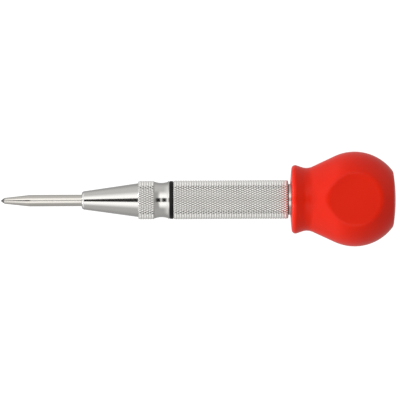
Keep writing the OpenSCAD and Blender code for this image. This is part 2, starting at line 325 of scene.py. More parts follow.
@dataclass(frozen=True)
class Plating(Finish):
    """Bright lathe-polished plating; dull knurled and threaded valleys, darker from tarnish and
    painted shade.
    """

    shine: Colour = (0.535, 0.525, 0.505)
    roughness: float = 0.12
    rings: Grain = Grain(2600.0, 26.0, 3.0)
    ring_depth: float = 0.0004 * MM
    ring_haze: float = 0.05
    cloud: Grain = Grain(150.0, 150.0, 2.0)
    cloud_haze: float = 0.06
    cloud_shades: Span = (0.965, 1.03)
    cuts: tuple[Cut, ...] = ()
    cut_shine: Colour = (0.665, 0.655, 0.63)
    # The cut valleys, from valley_from of their depth down, get a darker colour: partly tarnish,
    # partly painted shade in the grooves
    valley_tarnish_and_shade: Colour = (0.2, 0.195, 0.185)
    valley_from: float = 0.5
    grime_and_shade: float = 0.3
    cloud_grime_and_shade: float = 0.45
    tarnish: float = 0.1
    # A painted shadow line where the barrel's end meets the cap: its place, dark colour, share, reach
    # and core
    oil_at: float | None = None
    oil: Colour = (0.08, 0.05, 0.04)
    gap_shadow_share: float = 0.85
    gap_shadow_reach: float = 0.45 * MM
    gap_shadow_core: float = 0.4

    def paint(self, sheet: Sheet) -> dict[str, Any]:
        """Writes polish rings, cloudy patches, the valleys' tarnish and painted shade, and a painted
        shadow line.

        Args:
            sheet: The nodes of the material.

        Returns:
            Values and terms for the shader's sockets, by name.
        """
        rings, cloud = sheet.grain(self.rings), sheet.grain(self.cloud)
        colour = sheet.blend(cloud, *shades(self.shine, self.cloud_shades))
        rough = self.roughness + sheet.swing(cloud, self.cloud_haze)
        rough = rough + sheet.swing(rings, self.ring_haze)
        along, _, _ = sheet.axes(sheet.place())
        from_axis = sheet.radius()
        for cut in self.cuts:
            inside = sheet.math("GREATER_THAN", along, cut.start)
            inside = inside * sheet.math("LESS_THAN", along, cut.end)
            wall, bottom = cut.crest - self.valley_from * cut.depth, cut.crest - cut.depth
            # Valley floors: their colour is darkened, partly as tarnish and partly as painted shade
            # of the grooves
            low = inside * sheet.ramp(from_axis, wall, bottom)
            colour = sheet.blend(inside, colour, self.cut_shine)
            colour = sheet.blend(low * (self.grime_and_shade + self.cloud_grime_and_shade * cloud), colour, self.valley_tarnish_and_shade)
            rough = rough + inside * (cut.roughness - self.roughness) + low * self.tarnish
        # Painted shadow: a dark line round the barrel's end, standing in for the shade of the gap to
        # the cap
        if self.oil_at is not None:
            core = self.gap_shadow_core * self.gap_shadow_reach
            gap_shadow = sheet.ramp(abs(along - self.oil_at), self.gap_shadow_reach, core)
            colour = sheet.blend(gap_shadow * self.gap_shadow_share, colour, self.oil)
        return {
            "Base Color": colour,
            "Metallic": 1.0,
            "Roughness": sheet.clamp(rough),
            "Normal": sheet.relief(rings, self.ring_depth),
        }


@dataclass(frozen=True)
class GroundSteel(Finish):
    """Steel with the fine rings of a lathe or grinder, and a dull dark end where one is named."""

    shine: Colour
    roughness: float
    roughness_span: Span = (0.08, 0.8)
    rings: Grain = Grain(4200.0, 35.0, 2.0)
    ring_depth: float = 0.0002 * MM
    ring_haze: float = 0.1
    cloud: Grain = Grain(120.0, 160.0, 3.0)
    cloud_haze: float = 0.06
    cloud_share: float = 0.6
    stain: float = 0.05
    # The point's end is coloured darker: the tip's place, the dark colour, its share, reach, core,
    # ragged edge and roughness
    dark_end_at: float | None = None
    dark_end: Colour = (0.035, 0.034, 0.034)
    dark_end_share: float = 0.95
    dark_end_r: float = 1.95 * MM
    dark_end_core: float = 0.65
    dark_end_swing: float = 0.3 * MM
    dark_end_haze: float = 0.2

    def paint(self, sheet: Sheet) -> dict[str, Any]:
        """Writes grinding rings, a faint stain and the darkened point.

        Args:
            sheet: The nodes of the material.

        Returns:
            Values and terms for the shader's sockets, by name.
        """
        rings, cloud = sheet.grain(self.rings), sheet.grain(self.cloud)
        mottle = cloud * self.cloud_share + rings * (1 - self.cloud_share)
        colour = sheet.blend(mottle, *shades(self.shine, (1 - self.stain, 1 + self.stain)))
        rough = self.roughness + sheet.swing(rings, self.ring_haze)
        rough = rough + sheet.swing(cloud, self.cloud_haze)
        # Darkens the colour round the point's end, with a ragged edge
        if self.dark_end_at is not None:
            from_tip = sheet.node(
                "ShaderNodeVectorMath",
                {0: sheet.place(), 1: (self.dark_end_at, 0.0, 0.0)},
                {"operation": "DISTANCE"},
                output="Value",
            )
            ragged = from_tip + sheet.swing(cloud, self.dark_end_swing)
            dark = sheet.ramp(ragged, self.dark_end_r, self.dark_end_core * self.dark_end_r)
            colour = sheet.blend(dark * self.dark_end_share, colour, self.dark_end)
            rough = rough + dark * self.dark_end_haze
        return {
            "Base Color": colour,
            "Metallic": 1.0,
            "Roughness": sheet.clamp(rough, *self.roughness_span),
            "Normal": sheet.relief(rings, self.ring_depth),
        }


@dataclass(frozen=True)
class DrawnWire(Finish):
    """Spring wire, grey from drawing, with a thin film of oil."""

    shine: Colour = (0.3, 0.3, 0.31)
    roughness: float = 0.33
    roughness_span: Span = (0.12, 0.7)
    marks: Grain = Grain(900.0, 900.0, 5.0)
    mark_depth: float = 0.006 * MM
    mark_haze: float = 0.3
    oil: Grain = Grain(220.0, 220.0, 2.0)
    oil_shades: Span = (0.75, 1.2)
    oil_from: float = 0.4
    oil_gain: float = 2.0
    oil_most: float = 0.5
    oil_roughness: float = 0.15

    def paint(self, sheet: Sheet) -> dict[str, Any]:
        """Writes the drawing marks and the patches of oil.

        Args:
            sheet: The nodes of the material.

        Returns:
            Values and terms for the shader's sockets, by name.
        """
        marks, oil = sheet.grain(self.marks), sheet.grain(self.oil)
        rough = self.roughness + sheet.swing(marks, self.mark_haze)
        return {
            "Base Color": sheet.blend(oil, *shades(self.shine, self.oil_shades)),
            "Metallic": 1.0,
            "Roughness": sheet.clamp(rough, *self.roughness_span),
            "Normal": sheet.relief(marks, self.mark_depth),
            "Coat Weight": sheet.clamp((oil - self.oil_from) * self.oil_gain, 0.0, self.oil_most),
            "Coat Roughness": self.oil_roughness,
        }


@dataclass(frozen=True)
class Rubber(Finish):
    """Black rubber with a faint bloom."""

    colour: Colour = (0.003, 0.003, 0.003)
    roughness: float = 0.55
    specular: float = 0.12
    patch: Grain = Grain(260.0, 260.0, 3.0)
    patch_haze: float = 0.2
    bloom: Colour = (0.012, 0.012, 0.011)
    bloom_span: Span = (0.35, 0.8)
    pores: Grain = Grain(5200.0, 5200.0, 2.0)
    pore_depth: float = 0.01 * MM

    def paint(self, sheet: Sheet) -> dict[str, Any]:
        """Writes the bloom and the fine pores.

        Args:
            sheet: The nodes of the material.

        Returns:
            Values and terms for the shader's sockets, by name.
        """
        patch, pores = sheet.grain(self.patch), sheet.grain(self.pores)
        return {
            "Base Color": sheet.blend(sheet.ramp(patch, *self.bloom_span), self.colour, self.bloom),
            "Roughness": sheet.clamp(self.roughness + sheet.swing(patch, self.patch_haze)),
            "Specular IOR Level": self.specular,
            "Normal": sheet.relief(pores, self.pore_depth),
        }


@dataclass(frozen=True)
class MouldedPlastic(Finish):
    """Glossy moulded plastic: even colour, slight flow marks and the orange peel of the mould."""

    colour: Colour = (0.565, 0.0118, 0.0011)
    roughness: float = 0.3
    specular: float = 0.13
    flow: Grain = Grain(38.0, 60.0, 2.0)
    flow_haze: float = 0.06
    deep: Colour = (0.52, 0.0098, 0.0009)
    deep_span: Span = (0.3, 0.75)
    peel: Grain = Grain(1500.0, 1500.0, 2.0)
    peel_depth: float = 0.006 * MM
    rub: Grain = Grain(700.0, 160.0, 4.0)
    rub_span: Span = (0.6, 0.8)
    rub_haze: float = 0.05

    def paint(self, sheet: Sheet) -> dict[str, Any]:
        """Writes flow marks, orange peel and faint rubbing.

        Args:
            sheet: The nodes of the material.

        Returns:
            Values and terms for the shader's sockets, by name.
        """
        flow, peel, rub = (sheet.grain(grain) for grain in (self.flow, self.peel, self.rub))
        worn = sheet.ramp(rub, *self.rub_span)
        rough = self.roughness + sheet.swing(flow, self.flow_haze) + worn * self.rub_haze
        return {
            "Base Color": sheet.blend(sheet.ramp(flow, *self.deep_span), self.deep, self.colour),
            "Roughness": sheet.clamp(rough),
            "Specular IOR Level": self.specular,
            "Normal": sheet.relief(peel, self.peel_depth),
        }


@dataclass(frozen=True)
class StagePaint(Finish):
    """The pale floor of the studio."""

    colour: Colour = (0.3, 0.3, 0.3)
    roughness: float = 0.9
    glow: float = 0.85
    glow_colour: Colour = (1.0, 1.0, 1.0)

    def paint(self, sheet: Sheet) -> dict[str, Any]:
        """Gives an even, dull surface with a little light of its own.

        Args:
            sheet: The nodes of the material.

        Returns:
            Values and terms for the shader's sockets, by name.
        """
        return {
            "Base Color": self.colour,
            "Roughness": self.roughness,
            "Specular IOR Level": 0.0,
            "Emission Color": self.glow_colour,
            "Emission Strength": self.glow,
        }


def bend(start: Vector, corner: Vector, end: Vector, steps: int) -> list[Vector]:
    """Points of the rounding of a corner, ends included."""
    shares = [step / steps for step in range(steps + 1)]
    return [start * (1 - s) ** 2 + corner * 2 * s * (1 - s) + end * s**2 for s in shares]


@dataclass
class Outline:
    """An outline that is turned about the axis.

    Its outside runs towards +X, so that the faces point outwards.
    """

    corners: list[Corner] = field(default_factory=list)

    def to(self, along: float, radius: float, edge: float = 0.0) -> Outline:
        """Goes straight to a corner, whose rounding reaches edge far along both of its sides."""
        self.corners.append((along, radius, edge))
        return self

    def curve(self, points: list[Point]) -> Outline:
        """Follows a list of points, each taken as it is.

        Args:
            points: The points.

        Returns:
            The outline itself.
        """
        for along, radius in points:
            self.corners.append((along, radius, CURVED))
        return self

    def slope(self, along: float, radius: float, steps: int) -> Outline:
        """Goes straight to a point in several steps, for a surface that is reshaped later."""
        start, end = Vector(self.corners[-1][:2]), Vector((along, radius))
        return self.curve([tuple(start.lerp(end, step / steps)) for step in range(1, steps + 1)])

    def room(self, corner: int, other: int) -> float:
        """Room that a corner's rounding has towards the corner beside it.

        Args:
            corner: Number of the corner.
            other: Number of the one beside it.

        Returns:
            The most that the rounding may reach.
        """
        here, there = self.corners[corner], self.corners[other]
        share = here[2] / (here[2] + max(0.0, there[2]))
        return FILLED * share * math.dist(here[:2], there[:2])

    def traced(self, steps: int = 4, hold: float = 0.05 * MM) -> list[Point]:
        """Rounds the corners and holds the straights between them.

        Args:
            steps: Pieces in which each corner is rounded.
            hold: Distance from a straight's ends to the rings that keep its shading flat. A
                straight of less than four times that gets none.

        Returns:
            All points of the outline.
        """
        flat = [Vector(corner[:2]) for corner in self.corners]
        starts, ends = list(flat), list(flat)
        rounds: list[list[Vector]] = [[corner] for corner in flat]
        for i in range(1, len(flat) - 1):
            edge = self.corners[i][2]
            if edge > 0:
                back, ahead = flat[i - 1] - flat[i], flat[i + 1] - flat[i]
                reach = min(edge, self.room(i, i - 1), self.room(i, i + 1))
                starts[i] = flat[i] + back.normalized() * reach
                ends[i] = flat[i] + ahead.normalized() * reach
                rounds[i] = bend(starts[i], flat[i], ends[i], steps)
        traced: list[Vector] = []
        for i, points in enumerate(rounds):
            if i:
                first, last = ends[i - 1], starts[i]
                straight = last - first
                curved = self.corners[i - 1][2] < 0 and self.corners[i][2] < 0
                if straight.length > 4 * hold and not curved:
                    step = straight.normalized() * hold
                    traced += [first + step, last - step]
            traced += points
        return [(point.x, point.y) for point in traced]


def on_round(centre: Point, radius: float, angle: float) -> Point:
    """The point of a round at an angle."""
    return (centre[0] + radius * math.cos(angle), centre[1] + radius * math.sin(angle))


def arc(centre: Point, radius: float, first: float, last: float, steps: int) -> list[Point]:
    """Points of an arc from one angle to another in a number of steps, ends included."""
    return [on_round(centre, radius, first + (last - first) * i / steps) for i in range(steps + 1)]


def dome_radius(rise: float, edge_r: float) -> float:
    """Radius of a dome that rises by rise over a disc of radius edge_r."""
    return (edge_r * edge_r + rise * rise) / (2 * rise)


def tangent_angle(first: Point, first_r: float, second: Point, second_r: float, side: int) -> float:
    """Finds the straight that touches two rounds of opposite curl.

    Args:
        first: Centre of the first round.
        first_r: Its radius.
        second: Centre of the second round.
        second_r: Its radius.
        side: 1 or -1, for the straight on the one side or on the other.

    Returns:
        The angle at which it leaves the first round, in radians.
    """
    across = Vector(second) - Vector(first)
    lean = math.acos(min(1.0, (first_r + second_r) / across.length))
    return math.atan2(across.y, across.x) + side * lean


def turned(name: str, outlines: list[Outline], sides: int = SIDES) -> bpy.types.Object:
    """Turns outlines about the X axis into one mesh.

    Args:
        name: Name of the new piece.
        outlines: The outlines, whose points on the axis become poles. One that ends where it starts
            makes a ring.
        sides: Number of sides.

    Returns:
        The piece, with smooth shading between its sharp edges.
    """
    corners: list[Place] = []
    faces: list[tuple[int, ...]] = []
    for outline in outlines:
        rings: list[list[int]] = []
        points = outline.traced()
        closed = points[0] == points[-1]
        for along, radius in points[:-1] if closed else points:
            start = len(corners)
            if radius < ON_AXIS:
                corners.append((along, 0.0, 0.0))
                rings.append([start] * sides)
            else:
                angles = [-TURN * side / sides for side in range(sides)]
                corners += [(along, radius * math.cos(a), radius * math.sin(a)) for a in angles]
                rings.append(list(range(start, start + sides)))
        if closed:
            rings.append(rings[0])
        for near, far in zip(rings, rings[1:]):
            for side in range(sides):
                turn = (side + 1) % sides
                loop = (near[side], far[side], far[turn], near[turn])
                face = tuple(dict.fromkeys(loop))
                if len(face) > 2:
                    faces.append(face)
    mesh = bpy.data.meshes.new(name)
    mesh.from_pydata(corners, [], faces)
    mesh.validate()
    return piece_from(name, mesh)


def piece_from(name: str, mesh: bpy.types.Mesh) -> bpy.types.Object:
    """Shades a mesh smooth between its creases and puts it in the scene.

    Args:
        name: Name of the piece.
        mesh: Its mesh.

    Returns:
        The piece.
    """
    mesh.shade_smooth()
    mesh.set_sharp_from_angle(angle=CREASE)
    piece = bpy.data.objects.new(name, mesh)
    bpy.context.scene.collection.objects.link(piece)
    return piece


class Grower:
    """A Geometry Nodes tree with named inputs. Each kind writes its own nodes in shape."""

    name: str = "grower"
    inputs: dict[str, str] = {}

    def __init__(self) -> None:
        """Makes the tree: sockets, the shape's nodes, Realize Instances and Set Material."""
        self.tree = bpy.data.node_groups.new(self.name, "GeometryNodeTree")
        sockets = self.tree.interface
        sockets.new_socket(name="Geometry", in_out="OUTPUT", socket_type="NodeSocketGeometry")
        kinds = {"Geometry": "Geometry", "Material": "Material", **self.inputs}
        for label, kind in kinds.items():
            sockets.new_socket(name=label, in_out="INPUT", socket_type=f"NodeSocket{kind}")
        self.sheet = Sheet(self.tree)
        group = self.sheet.node("NodeGroupInput").socket.node
        self.given = {label: Term(self.sheet, group.outputs[label]) for label in kinds}
        real = self.sheet.node("GeometryNodeRealizeInstances", {0: self.shape()})
        done = self.sheet.node(
            "GeometryNodeSetMaterial", {"Geometry": real, "Material": self.given["Material"]}
        )
        self.sheet.node("NodeGroupOutput", {0: done})

    def shape(self) -> Term:
        """Writes the nodes that make the geometry."""
        raise NotImplementedError

    def grow(self, piece: bpy.types.Object, finish: Finish, **values: Any) -> bpy.types.Object:
        """Runs the tree on a piece and keeps the result as its plain mesh.

        Args:
            piece: The piece, whose own mesh is the tree's Geometry.
            finish: The finish that Set Material gives to all of it.
            values: The named inputs, with _ for a space.

        Returns:
            The piece, without the modifier.
        """
        modifier = piece.modifiers.new(self.name, "NODES")
        modifier.node_group = self.tree
        values["Material"] = finish.material()
        for item in self.tree.interface.items_tree:
            if item.in_out == "INPUT" and item.name.replace(" ", "_") in values:
                modifier[item.identifier] = values[item.name.replace(" ", "_")]
        finished = piece.evaluated_get(bpy.context.evaluated_depsgraph_get())
        plain, made = piece.data, bpy.data.meshes.new_from_object(finished)
        piece.modifiers.remove(modifier)
        piece.data = made
        bpy.data.meshes.remove(plain)
        made.name = piece.name
        return piece


class Band(Grower):
    """A band wrapped round a turned piece, between two of its open rings, and merged with them."""

    inputs = {
        "Start": "Float",
        "End": "Float",
        "Crest": "Float",
        "Depth": "Float",
        "Rows": "Int",
        "Sides": "Int",
    }
    smooth: bool = False
    # Points that are nearer to each other than this become one
    weld: float = 0.002 * MM

    def wrap(
        self, piece: bpy.types.Object, finish: Finish, cut: Cut, rows: int, **values: Any
    ) -> bpy.types.Object:
        """Wraps the band of a cut round a piece.

        Args:
            piece: The turned piece, open along the cut.
            finish: Its finish.
            cut: The cut.
            rows: Rows of the band's grid.
            values: The inputs that this kind of band has besides.

        Returns:
            The piece.
        """
        return self.grow(
            piece,
            finish,
            Start=cut.start,
            End=cut.end,
            Crest=cut.crest,
            Depth=cut.depth,
            Rows=rows,
            Sides=SIDES,
            **values,
        )

    def along(self) -> tuple[Term, Term]:
        """Shares of the way along the band and round it, from a grid whose middle is at 0."""
        x, y, _ = self.sheet.axes(self.sheet.node("GeometryNodeInputPosition"))
        return x + 0.5, y + 0.5

    def wave(self, phase: Term) -> Term:
        """A triangle wave: 0 at whole numbers and 1 halfway between them."""
        return 1 - abs(2 * self.sheet.math("FRACT", phase) - 1)

    def split(self, grid: Term) -> Term:
        """Splits the flat grid's squares where a crease crosses them."""
        return grid

    def height(self, share: Term, turn: Term) -> Term:
        """The band's radius at a share of its length and of a turn."""
        raise NotImplementedError

    def shape(self) -> Term:
        """Writes the flat grid, wraps it into a band and merges it with the piece.

        Returns:
            The whole piece.
        """
        sheet, given = self.sheet, self.given
        size = {"Size X": 1.0, "Size Y": 1.0}
        counts = {"Vertices X": given["Rows"] + 1, "Vertices Y": given["Sides"] + 1}
        grid = self.split(sheet.node("GeometryNodeMeshGrid", {**size, **counts}))
        share, turn = self.along()
        radius = self.height(share, turn)
        angle = turn * -TURN
        place = {
            "X": given["Start"] + share * (given["End"] - given["Start"]),
            "Y": radius * sheet.math("COSINE", angle),
            "Z": radius * sheet.math("SINE", angle),
        }
        wrapped = sheet.node(
            "GeometryNodeSetPosition",
            {"Geometry": grid, "Position": sheet.node("ShaderNodeCombineXYZ", place)},
        )
        shaded = sheet.node(
            "GeometryNodeSetShadeSmooth", {"Geometry": wrapped, "Shade Smooth": self.smooth}
        )
        joined = sheet.node("GeometryNodeJoinGeometry", {"Geometry": [shaded, given["Geometry"]]})
        inputs = {"Geometry": joined, "Distance": self.weld}
        return sheet.node("GeometryNodeMergeByDistance", inputs)


class Knurl(Band):
    """Diamond knurling: two crossed sets of helical grooves, cut off by a chamfer at both ends."""

    name = "diamond_knurl"
    inputs = {**Band.inputs, "Edge": "Float", "Cells": "Int", "Land": "Float"}
    # Share of the waves' mean in the height, which lets the ridges run on between the diamonds
    ridges: float = 0.5

    def grooves(self) -> tuple[Term, Term]:
        """Writes the waves of the two sets of grooves.

        Returns:
            The two waves, both 0 at the bottom of a groove.
        """
        share, turn = self.along()
        rows, columns = share * self.given["Rows"], turn * self.given["Sides"]
        cells = self.given["Cells"]
        return self.wave((rows + columns) / cells), self.wave((rows - columns) / cells)

    def split(self, grid: Term) -> Term:
        """Splits each square along the groove that is nearer, so that no crease is jagged.

        Args:
            grid: The flat grid.

        Returns:
            The grid in triangles.
        """
        first, second = self.grooves()
        nearer = self.sheet.math("LESS_THAN", first, second)
        for choice, method in ((nearer, "FIXED_ALTERNATE"), (1 - nearer, "FIXED")):
            inputs = {"Mesh": grid, "Selection": choice}
            grid = self.sheet.node("GeometryNodeTriangulate", inputs, {"quad_method": method})
        return grid

    def height(self, share: Term, turn: Term) -> Term:
        """Diamonds with small flat lands, under the cone of each end's chamfer.

        Args:
            share: Share of the band's length.
            turn: Share of a turn.

        Returns:
            The radius.
        """
        given, math_of = self.given, self.sheet.math
        first, second = self.grooves()
        lower = math_of("MINIMUM", first, second)
        peaks = math_of("MINIMUM", lower / (1 - given["Land"]), 1.0)
        raised = (1 - self.ridges) * peaks + self.ridges / 2 * (first + second)
        diamonds = given["Crest"] - given["Depth"] * (1 - raised)
        from_end = math_of("MINIMUM", share, 1 - share) * (given["End"] - given["Start"])
        return math_of("MINIMUM", diamonds, given["Crest"] - given["Edge"] + from_end)


class Thread(Band):
    """A right-handed screw thread that runs out at both ends."""

    name = "screw_thread"
    inputs = {**Band.inputs, "Turns": "Float"}
    smooth = True
    # Shares of the vee's depth that are flattened at its crest and at its root
    flat: float = 0.1

    def height(self, share: Term, turn: Term) -> Term:
        """A vee groove that fades over the first and the last turn.

        Args:
            share: Share of the band's length.
            turn: Share of a turn.

        Returns:
            The radius.
        """
        given, math_of = self.given, self.sheet.math
        steeper = 1 / (1 - 2 * self.flat)
        vee = (1 - self.wave(share * given["Turns"] + turn)) * steeper
        ends = self.sheet.clamp(math_of("MINIMUM", share, 1 - share) * given["Turns"])
        return given["Crest"] - given["Depth"] * ends * self.sheet.clamp(vee - self.flat * steeper)


class CoilSpring(Grower):
    """A coil spring of round wire about the X axis, with closed turns at both ends."""

    name = "coil_spring"
    inputs = {
        "Start": "Float",
        "End": "Float",
        "Front radius": "Float",
        "Back radius": "Float",
        "Wire radius": "Float",
        "Turns": "Float",
        "Closed turns": "Float",
        "Steps": "Int",
    }
    # Pitch of the closed turns, in radii of the wire
    closed_pitch: float = 2.06
    wire_sides: int = 14

    def shape(self) -> Term:
        """Writes the line of points, winds it up and sweeps the wire along it.

        Returns:
            The wire's surface.
        """
        sheet, given, math_of = self.sheet, self.given, self.sheet.math
        wire, closed = given["Wire radius"], given["Closed turns"]
        count = given["Turns"] * given["Steps"]
        line = sheet.node("GeometryNodeMeshLine", {"Count": count + 1})
        turn = sheet.node("GeometryNodeInputIndex") / given["Steps"]
        run_in = math_of("MINIMUM", turn, closed)
        run_out = math_of("MAXIMUM", turn - (given["Turns"] - closed), 0.0)
        tight = run_in + run_out
        tight_pitch = self.closed_pitch * wire
        length = given["End"] - given["Start"] - 2 * wire
        open_pitch = (length - 2 * closed * tight_pitch) / (given["Turns"] - 2 * closed)
        front, back = given["Front radius"], given["Back radius"]
        radius = front + (back - front) * turn / given["Turns"]
        place = {
            "X": given["Start"] + wire + tight * tight_pitch + (turn - tight) * open_pitch,
            "Y": radius * math_of("COSINE", turn * TURN),
            "Z": radius * math_of("SINE", turn * TURN),
        }
        wound = sheet.node(
            "GeometryNodeSetPosition",
            {"Geometry": line, "Position": sheet.node("ShaderNodeCombineXYZ", place)},
        )
        path = sheet.node("GeometryNodeMeshToCurve", {"Mesh": wound})
        round_wire = {"Resolution": self.wire_sides, "Radius": wire}
        ring = sheet.node("GeometryNodeCurvePrimitiveCircle", round_wire)
        wire_mesh = sheet.node(
            "GeometryNodeCurveToMesh", {"Curve": path, "Profile Curve": ring, "Fill Caps": True}
        )
        inputs = {"Geometry": wire_mesh, "Shade Smooth": True}
        return sheet.node("GeometryNodeSetShadeSmooth", inputs)


@dataclass(kw_only=True)
class Assembly:
    """A sub-assembly of the tool. Each kind builds its pieces in build."""

    body: Body

    def build(self) -> list[bpy.types.Object]:
        """Builds the pieces and gives them."""
        raise NotImplementedError

    def hand_over(
        self, piece: bpy.types.Object, node: str, slot: Slot, finish: Finish
    ) -> bpy.types.Object:
        """Gives a piece its finish, the sub-assembly's body and the solid that it stands for.

        Args:
            piece: The finished piece.
            node: The solid that it replaces.
            slot: Its material slot in the record; not used.
            finish: Its finish.

        Returns:
            The piece.
        """
        piece.data.materials.clear()
        piece.data.materials.append(finish.material())
        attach(piece, self.body.value)
        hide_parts(node)
        LOG.info("%s: %d faces, %s", piece.name, len(piece.data.polygons), finish.name)
        return piece

    def dress(self, node: bpy.types.Object, finish: Finish) -> bpy.types.Object:
        """Gives a solid that stays as it is a new finish.

        Args:
            node: The solid.
            finish: Its finish.

        Returns:
            The solid.
        """
        if not node.material_slots:
            node.data.materials.append(None)
        for slot in node.material_slots:
            slot.material = finish.material()
        LOG.info("%s: packed solid, %s", node.name, finish.name)
        return node


@dataclass(kw_only=True)
class PunchPin(Assembly):
    """The steel pin: point, long taper, shank, stop collar and socketed tail."""

    body: Body = Body.PUNCH
    sides: int = 160
    shank_r: float = 2.0 * MM
    tip_r: float = 0.2 * MM
    tip_edge: float = 0.1 * MM
    point_r: float = 1.05 * MM
    point_len: float = 1.25 * MM
    taper_len: float = 8.7 * MM
    taper_edge: float = 0.5 * MM
    collar_front: float = -39.3 * MM
    collar_len: float = 3.0 * MM
    tail_r: float = 2.7 * MM
    socket_r: float = 1.9 * MM
    socket_depth: float = 2.8 * MM
    edge: float = 0.3 * MM
    break_edge: float = 0.08 * MM

    def build(self) -> list[bpy.types.Object]:
        """Turns the pin and darkens its point.

        Returns:
            The pieces.
        """
        low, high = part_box("punch_pin")
        tip, back, collar_r = low.x, high.x, high.y
        taper_from = tip + self.point_len
        collar_back = self.collar_front + self.collar_len
        socket_end = back - self.socket_depth
        outline = (
            Outline()
            .to(tip, 0.0)
            .to(tip, self.tip_r, self.tip_edge)
            .to(taper_from, self.point_r, self.break_edge)
            .to(taper_from + self.taper_len, self.shank_r, self.taper_edge)
            .to(self.collar_front, self.shank_r)
            .to(self.collar_front, collar_r - self.edge, self.break_edge)
            .to(self.collar_front + self.edge, collar_r, self.break_edge)
            .to(collar_back - self.edge, collar_r, self.break_edge)
            .to(collar_back, collar_r - self.edge, self.break_edge)
            .to(collar_back, self.tail_r)
            .to(back - self.edge, self.tail_r, self.break_edge)
            .to(back, self.tail_r - self.edge, self.break_edge)
            .to(back, self.socket_r, self.break_edge)
            .to(socket_end, self.socket_r)
            .to(socket_end, 0.0)
        )
        finish = GroundSteel(
            "ground_pin_steel", shine=(0.535, 0.515, 0.48), roughness=0.17, dark_end_at=tip
        )
        pin = turned("pin", [outline], self.sides)
        return [self.hand_over(pin, "punch_pin", Slot.PIN_STEEL, finish)]


@dataclass(frozen=True)
class Grip:
    """Sizes that the two knurled grips share."""

    depth: float = 0.35 * MM
    edge: float = 0.36 * MM
    cells: int = 6
    land: float = 0.2
    roughness: float = 0.17

    def band(self, start: float, end: float, crest: float) -> Cut:
        """The band that is knurled, between two places and under a crest radius."""
        return Cut(start, end, crest, self.depth, self.roughness)

    def cut(
        self, knurl: Knurl, piece: bpy.types.Object, finish: Finish, band: Cut, rows: int
    ) -> bpy.types.Object:
        """Cuts the knurl into a band of a piece, on a grid of so many rows."""
        own = {"Edge": self.edge, "Cells": self.cells, "Land": self.land}
        return knurl.wrap(piece, finish, band, rows, **own)


@dataclass(frozen=True)
class ScrewThread:
    """Sizes that the nose's thread and the barrel's thread share."""

    crest: float = 5.5 * MM
    depth: float = 0.55 * MM
    pitch: float = 1.0 * MM
    rows_per_turn: int = 6
    roughness: float = 0.2

    def band(self, start: float, end: float) -> Cut:
        """The band that is threaded, between two places."""
        return Cut(start, end, self.crest, self.depth, self.roughness)

    def cut(
        self, thread: Thread, piece: bpy.types.Object, finish: Finish, band: Cut
    ) -> bpy.types.Object:
        """Cuts the thread into a band of a piece."""
        turns = (band.end - band.start) / self.pitch
        return thread.wrap(piece, finish, band, round(turns * self.rows_per_turn), Turns=turns)


@dataclass(kw_only=True)
class Nose(Assembly):
    """The plated nose: cone, grip ring, waist, thin flange and thread, with its black ring."""

    knurl: Knurl
    thread: Thread
    body: Body = Body.BARREL
    grip: Grip = Grip()
    screw: ScrewThread = ScrewThread()
    cone_len: float = 19.8 * MM
    ring_len: float = 5.7 * MM
    ring_rows: int = 20
    ring_edge: float = 0.06 * MM
    waist_len: float = 4.8 * MM
    waist_steps: int = 24
    front_r: float = 3.1 * MM
    front_edge: float = 1.0 * MM
    cone_back_r: float = 5.925 * MM
    waist_r: float = 6.025 * MM
    waist_end_r: float = 6.45 * MM
    bore_r: float = 2.05 * MM
    guide_len: float = 12.8 * MM
    chamber_r: float = 3.9 * MM
    seal_gap: float = 0.05 * MM
    seal_bulge: float = 0.38
    break_edge: float = 0.1 * MM

    def build(self) -> list[bpy.types.Object]:
        """Builds the nose and its black ring."""
        return [self.build_cone(), self.build_seal()]

    def build_cone(self) -> bpy.types.Object:
        """Turns the nose round its bore, then cuts the grip ring and the thread.

        Returns:
            The piece.
        """
        low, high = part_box("nose_cone")
        seal_low, seal_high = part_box("nose_seal")
        front, thread_back, crest = low.x, high.x, high.y
        nose_back, flange_r = seal_low.x, seal_high.y
        ring_front = front + self.cone_len
        ring_back = ring_front + self.ring_len
        waist_back = ring_back + self.waist_len
        guide_back = front + self.guide_len
        rim = crest - self.grip.edge
        dip = self.waist_end_r - self.waist_r
        hollow = dome_radius(dip, self.waist_len / 2)
        half = math.asin(self.waist_len / 2 / hollow)
        middle = ((ring_back + waist_back) / 2, self.waist_r + hollow)
        down = 1.5 * math.pi
        behind = (
            Outline()
            .to(ring_back, rim)
            .curve(arc(middle, hollow, down - half, down + half, self.waist_steps))
            .to(waist_back, flange_r, self.break_edge)
            .to(nose_back, flange_r, self.break_edge)
            .to(nose_back, self.screw.crest)
        )
        ahead = (
            Outline()
            .to(thread_back, self.screw.crest)
            .to(thread_back, self.chamber_r, self.break_edge)
            .to(guide_back, self.chamber_r)
            .to(guide_back, self.bore_r)
            .to(front, self.bore_r, self.break_edge)
            .to(front, self.front_r, self.front_edge)
            .to(ring_front, self.cone_back_r, self.ring_edge)
            .to(ring_front, rim)
        )
        ring = self.grip.band(ring_front, ring_back, crest)
        screw = self.screw.band(nose_back, thread_back)
        finish = Plating("plated_nose", cuts=(ring, screw))
        nose = turned("nose", [behind, ahead])
        self.screw.cut(self.thread, nose, finish, screw)
        self.grip.cut(self.knurl, nose, finish, ring, self.ring_rows)
        return self.hand_over(nose, "nose_cone", Slot.CHROME, finish)

    def build_seal(self) -> bpy.types.Object:
        """Turns the black ring, whose edges bulge a little.

        Returns:
            The piece.
        """
        low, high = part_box("nose_seal")
        bore_r = self.screw.crest + self.seal_gap
        edge = (high.x - low.x) * self.seal_bulge
        outline = (
            Outline()
            .to(low.x, bore_r)
            .to(low.x, high.y, edge)
            .to(high.x, high.y, edge)
            .to(high.x, bore_r)
            .to(low.x, bore_r)
        )
        ring = turned("seal_ring", [outline])
        return self.hand_over(ring, "nose_seal", Slot.BLACK_RUBBER, Rubber("black_rubber_ring"))


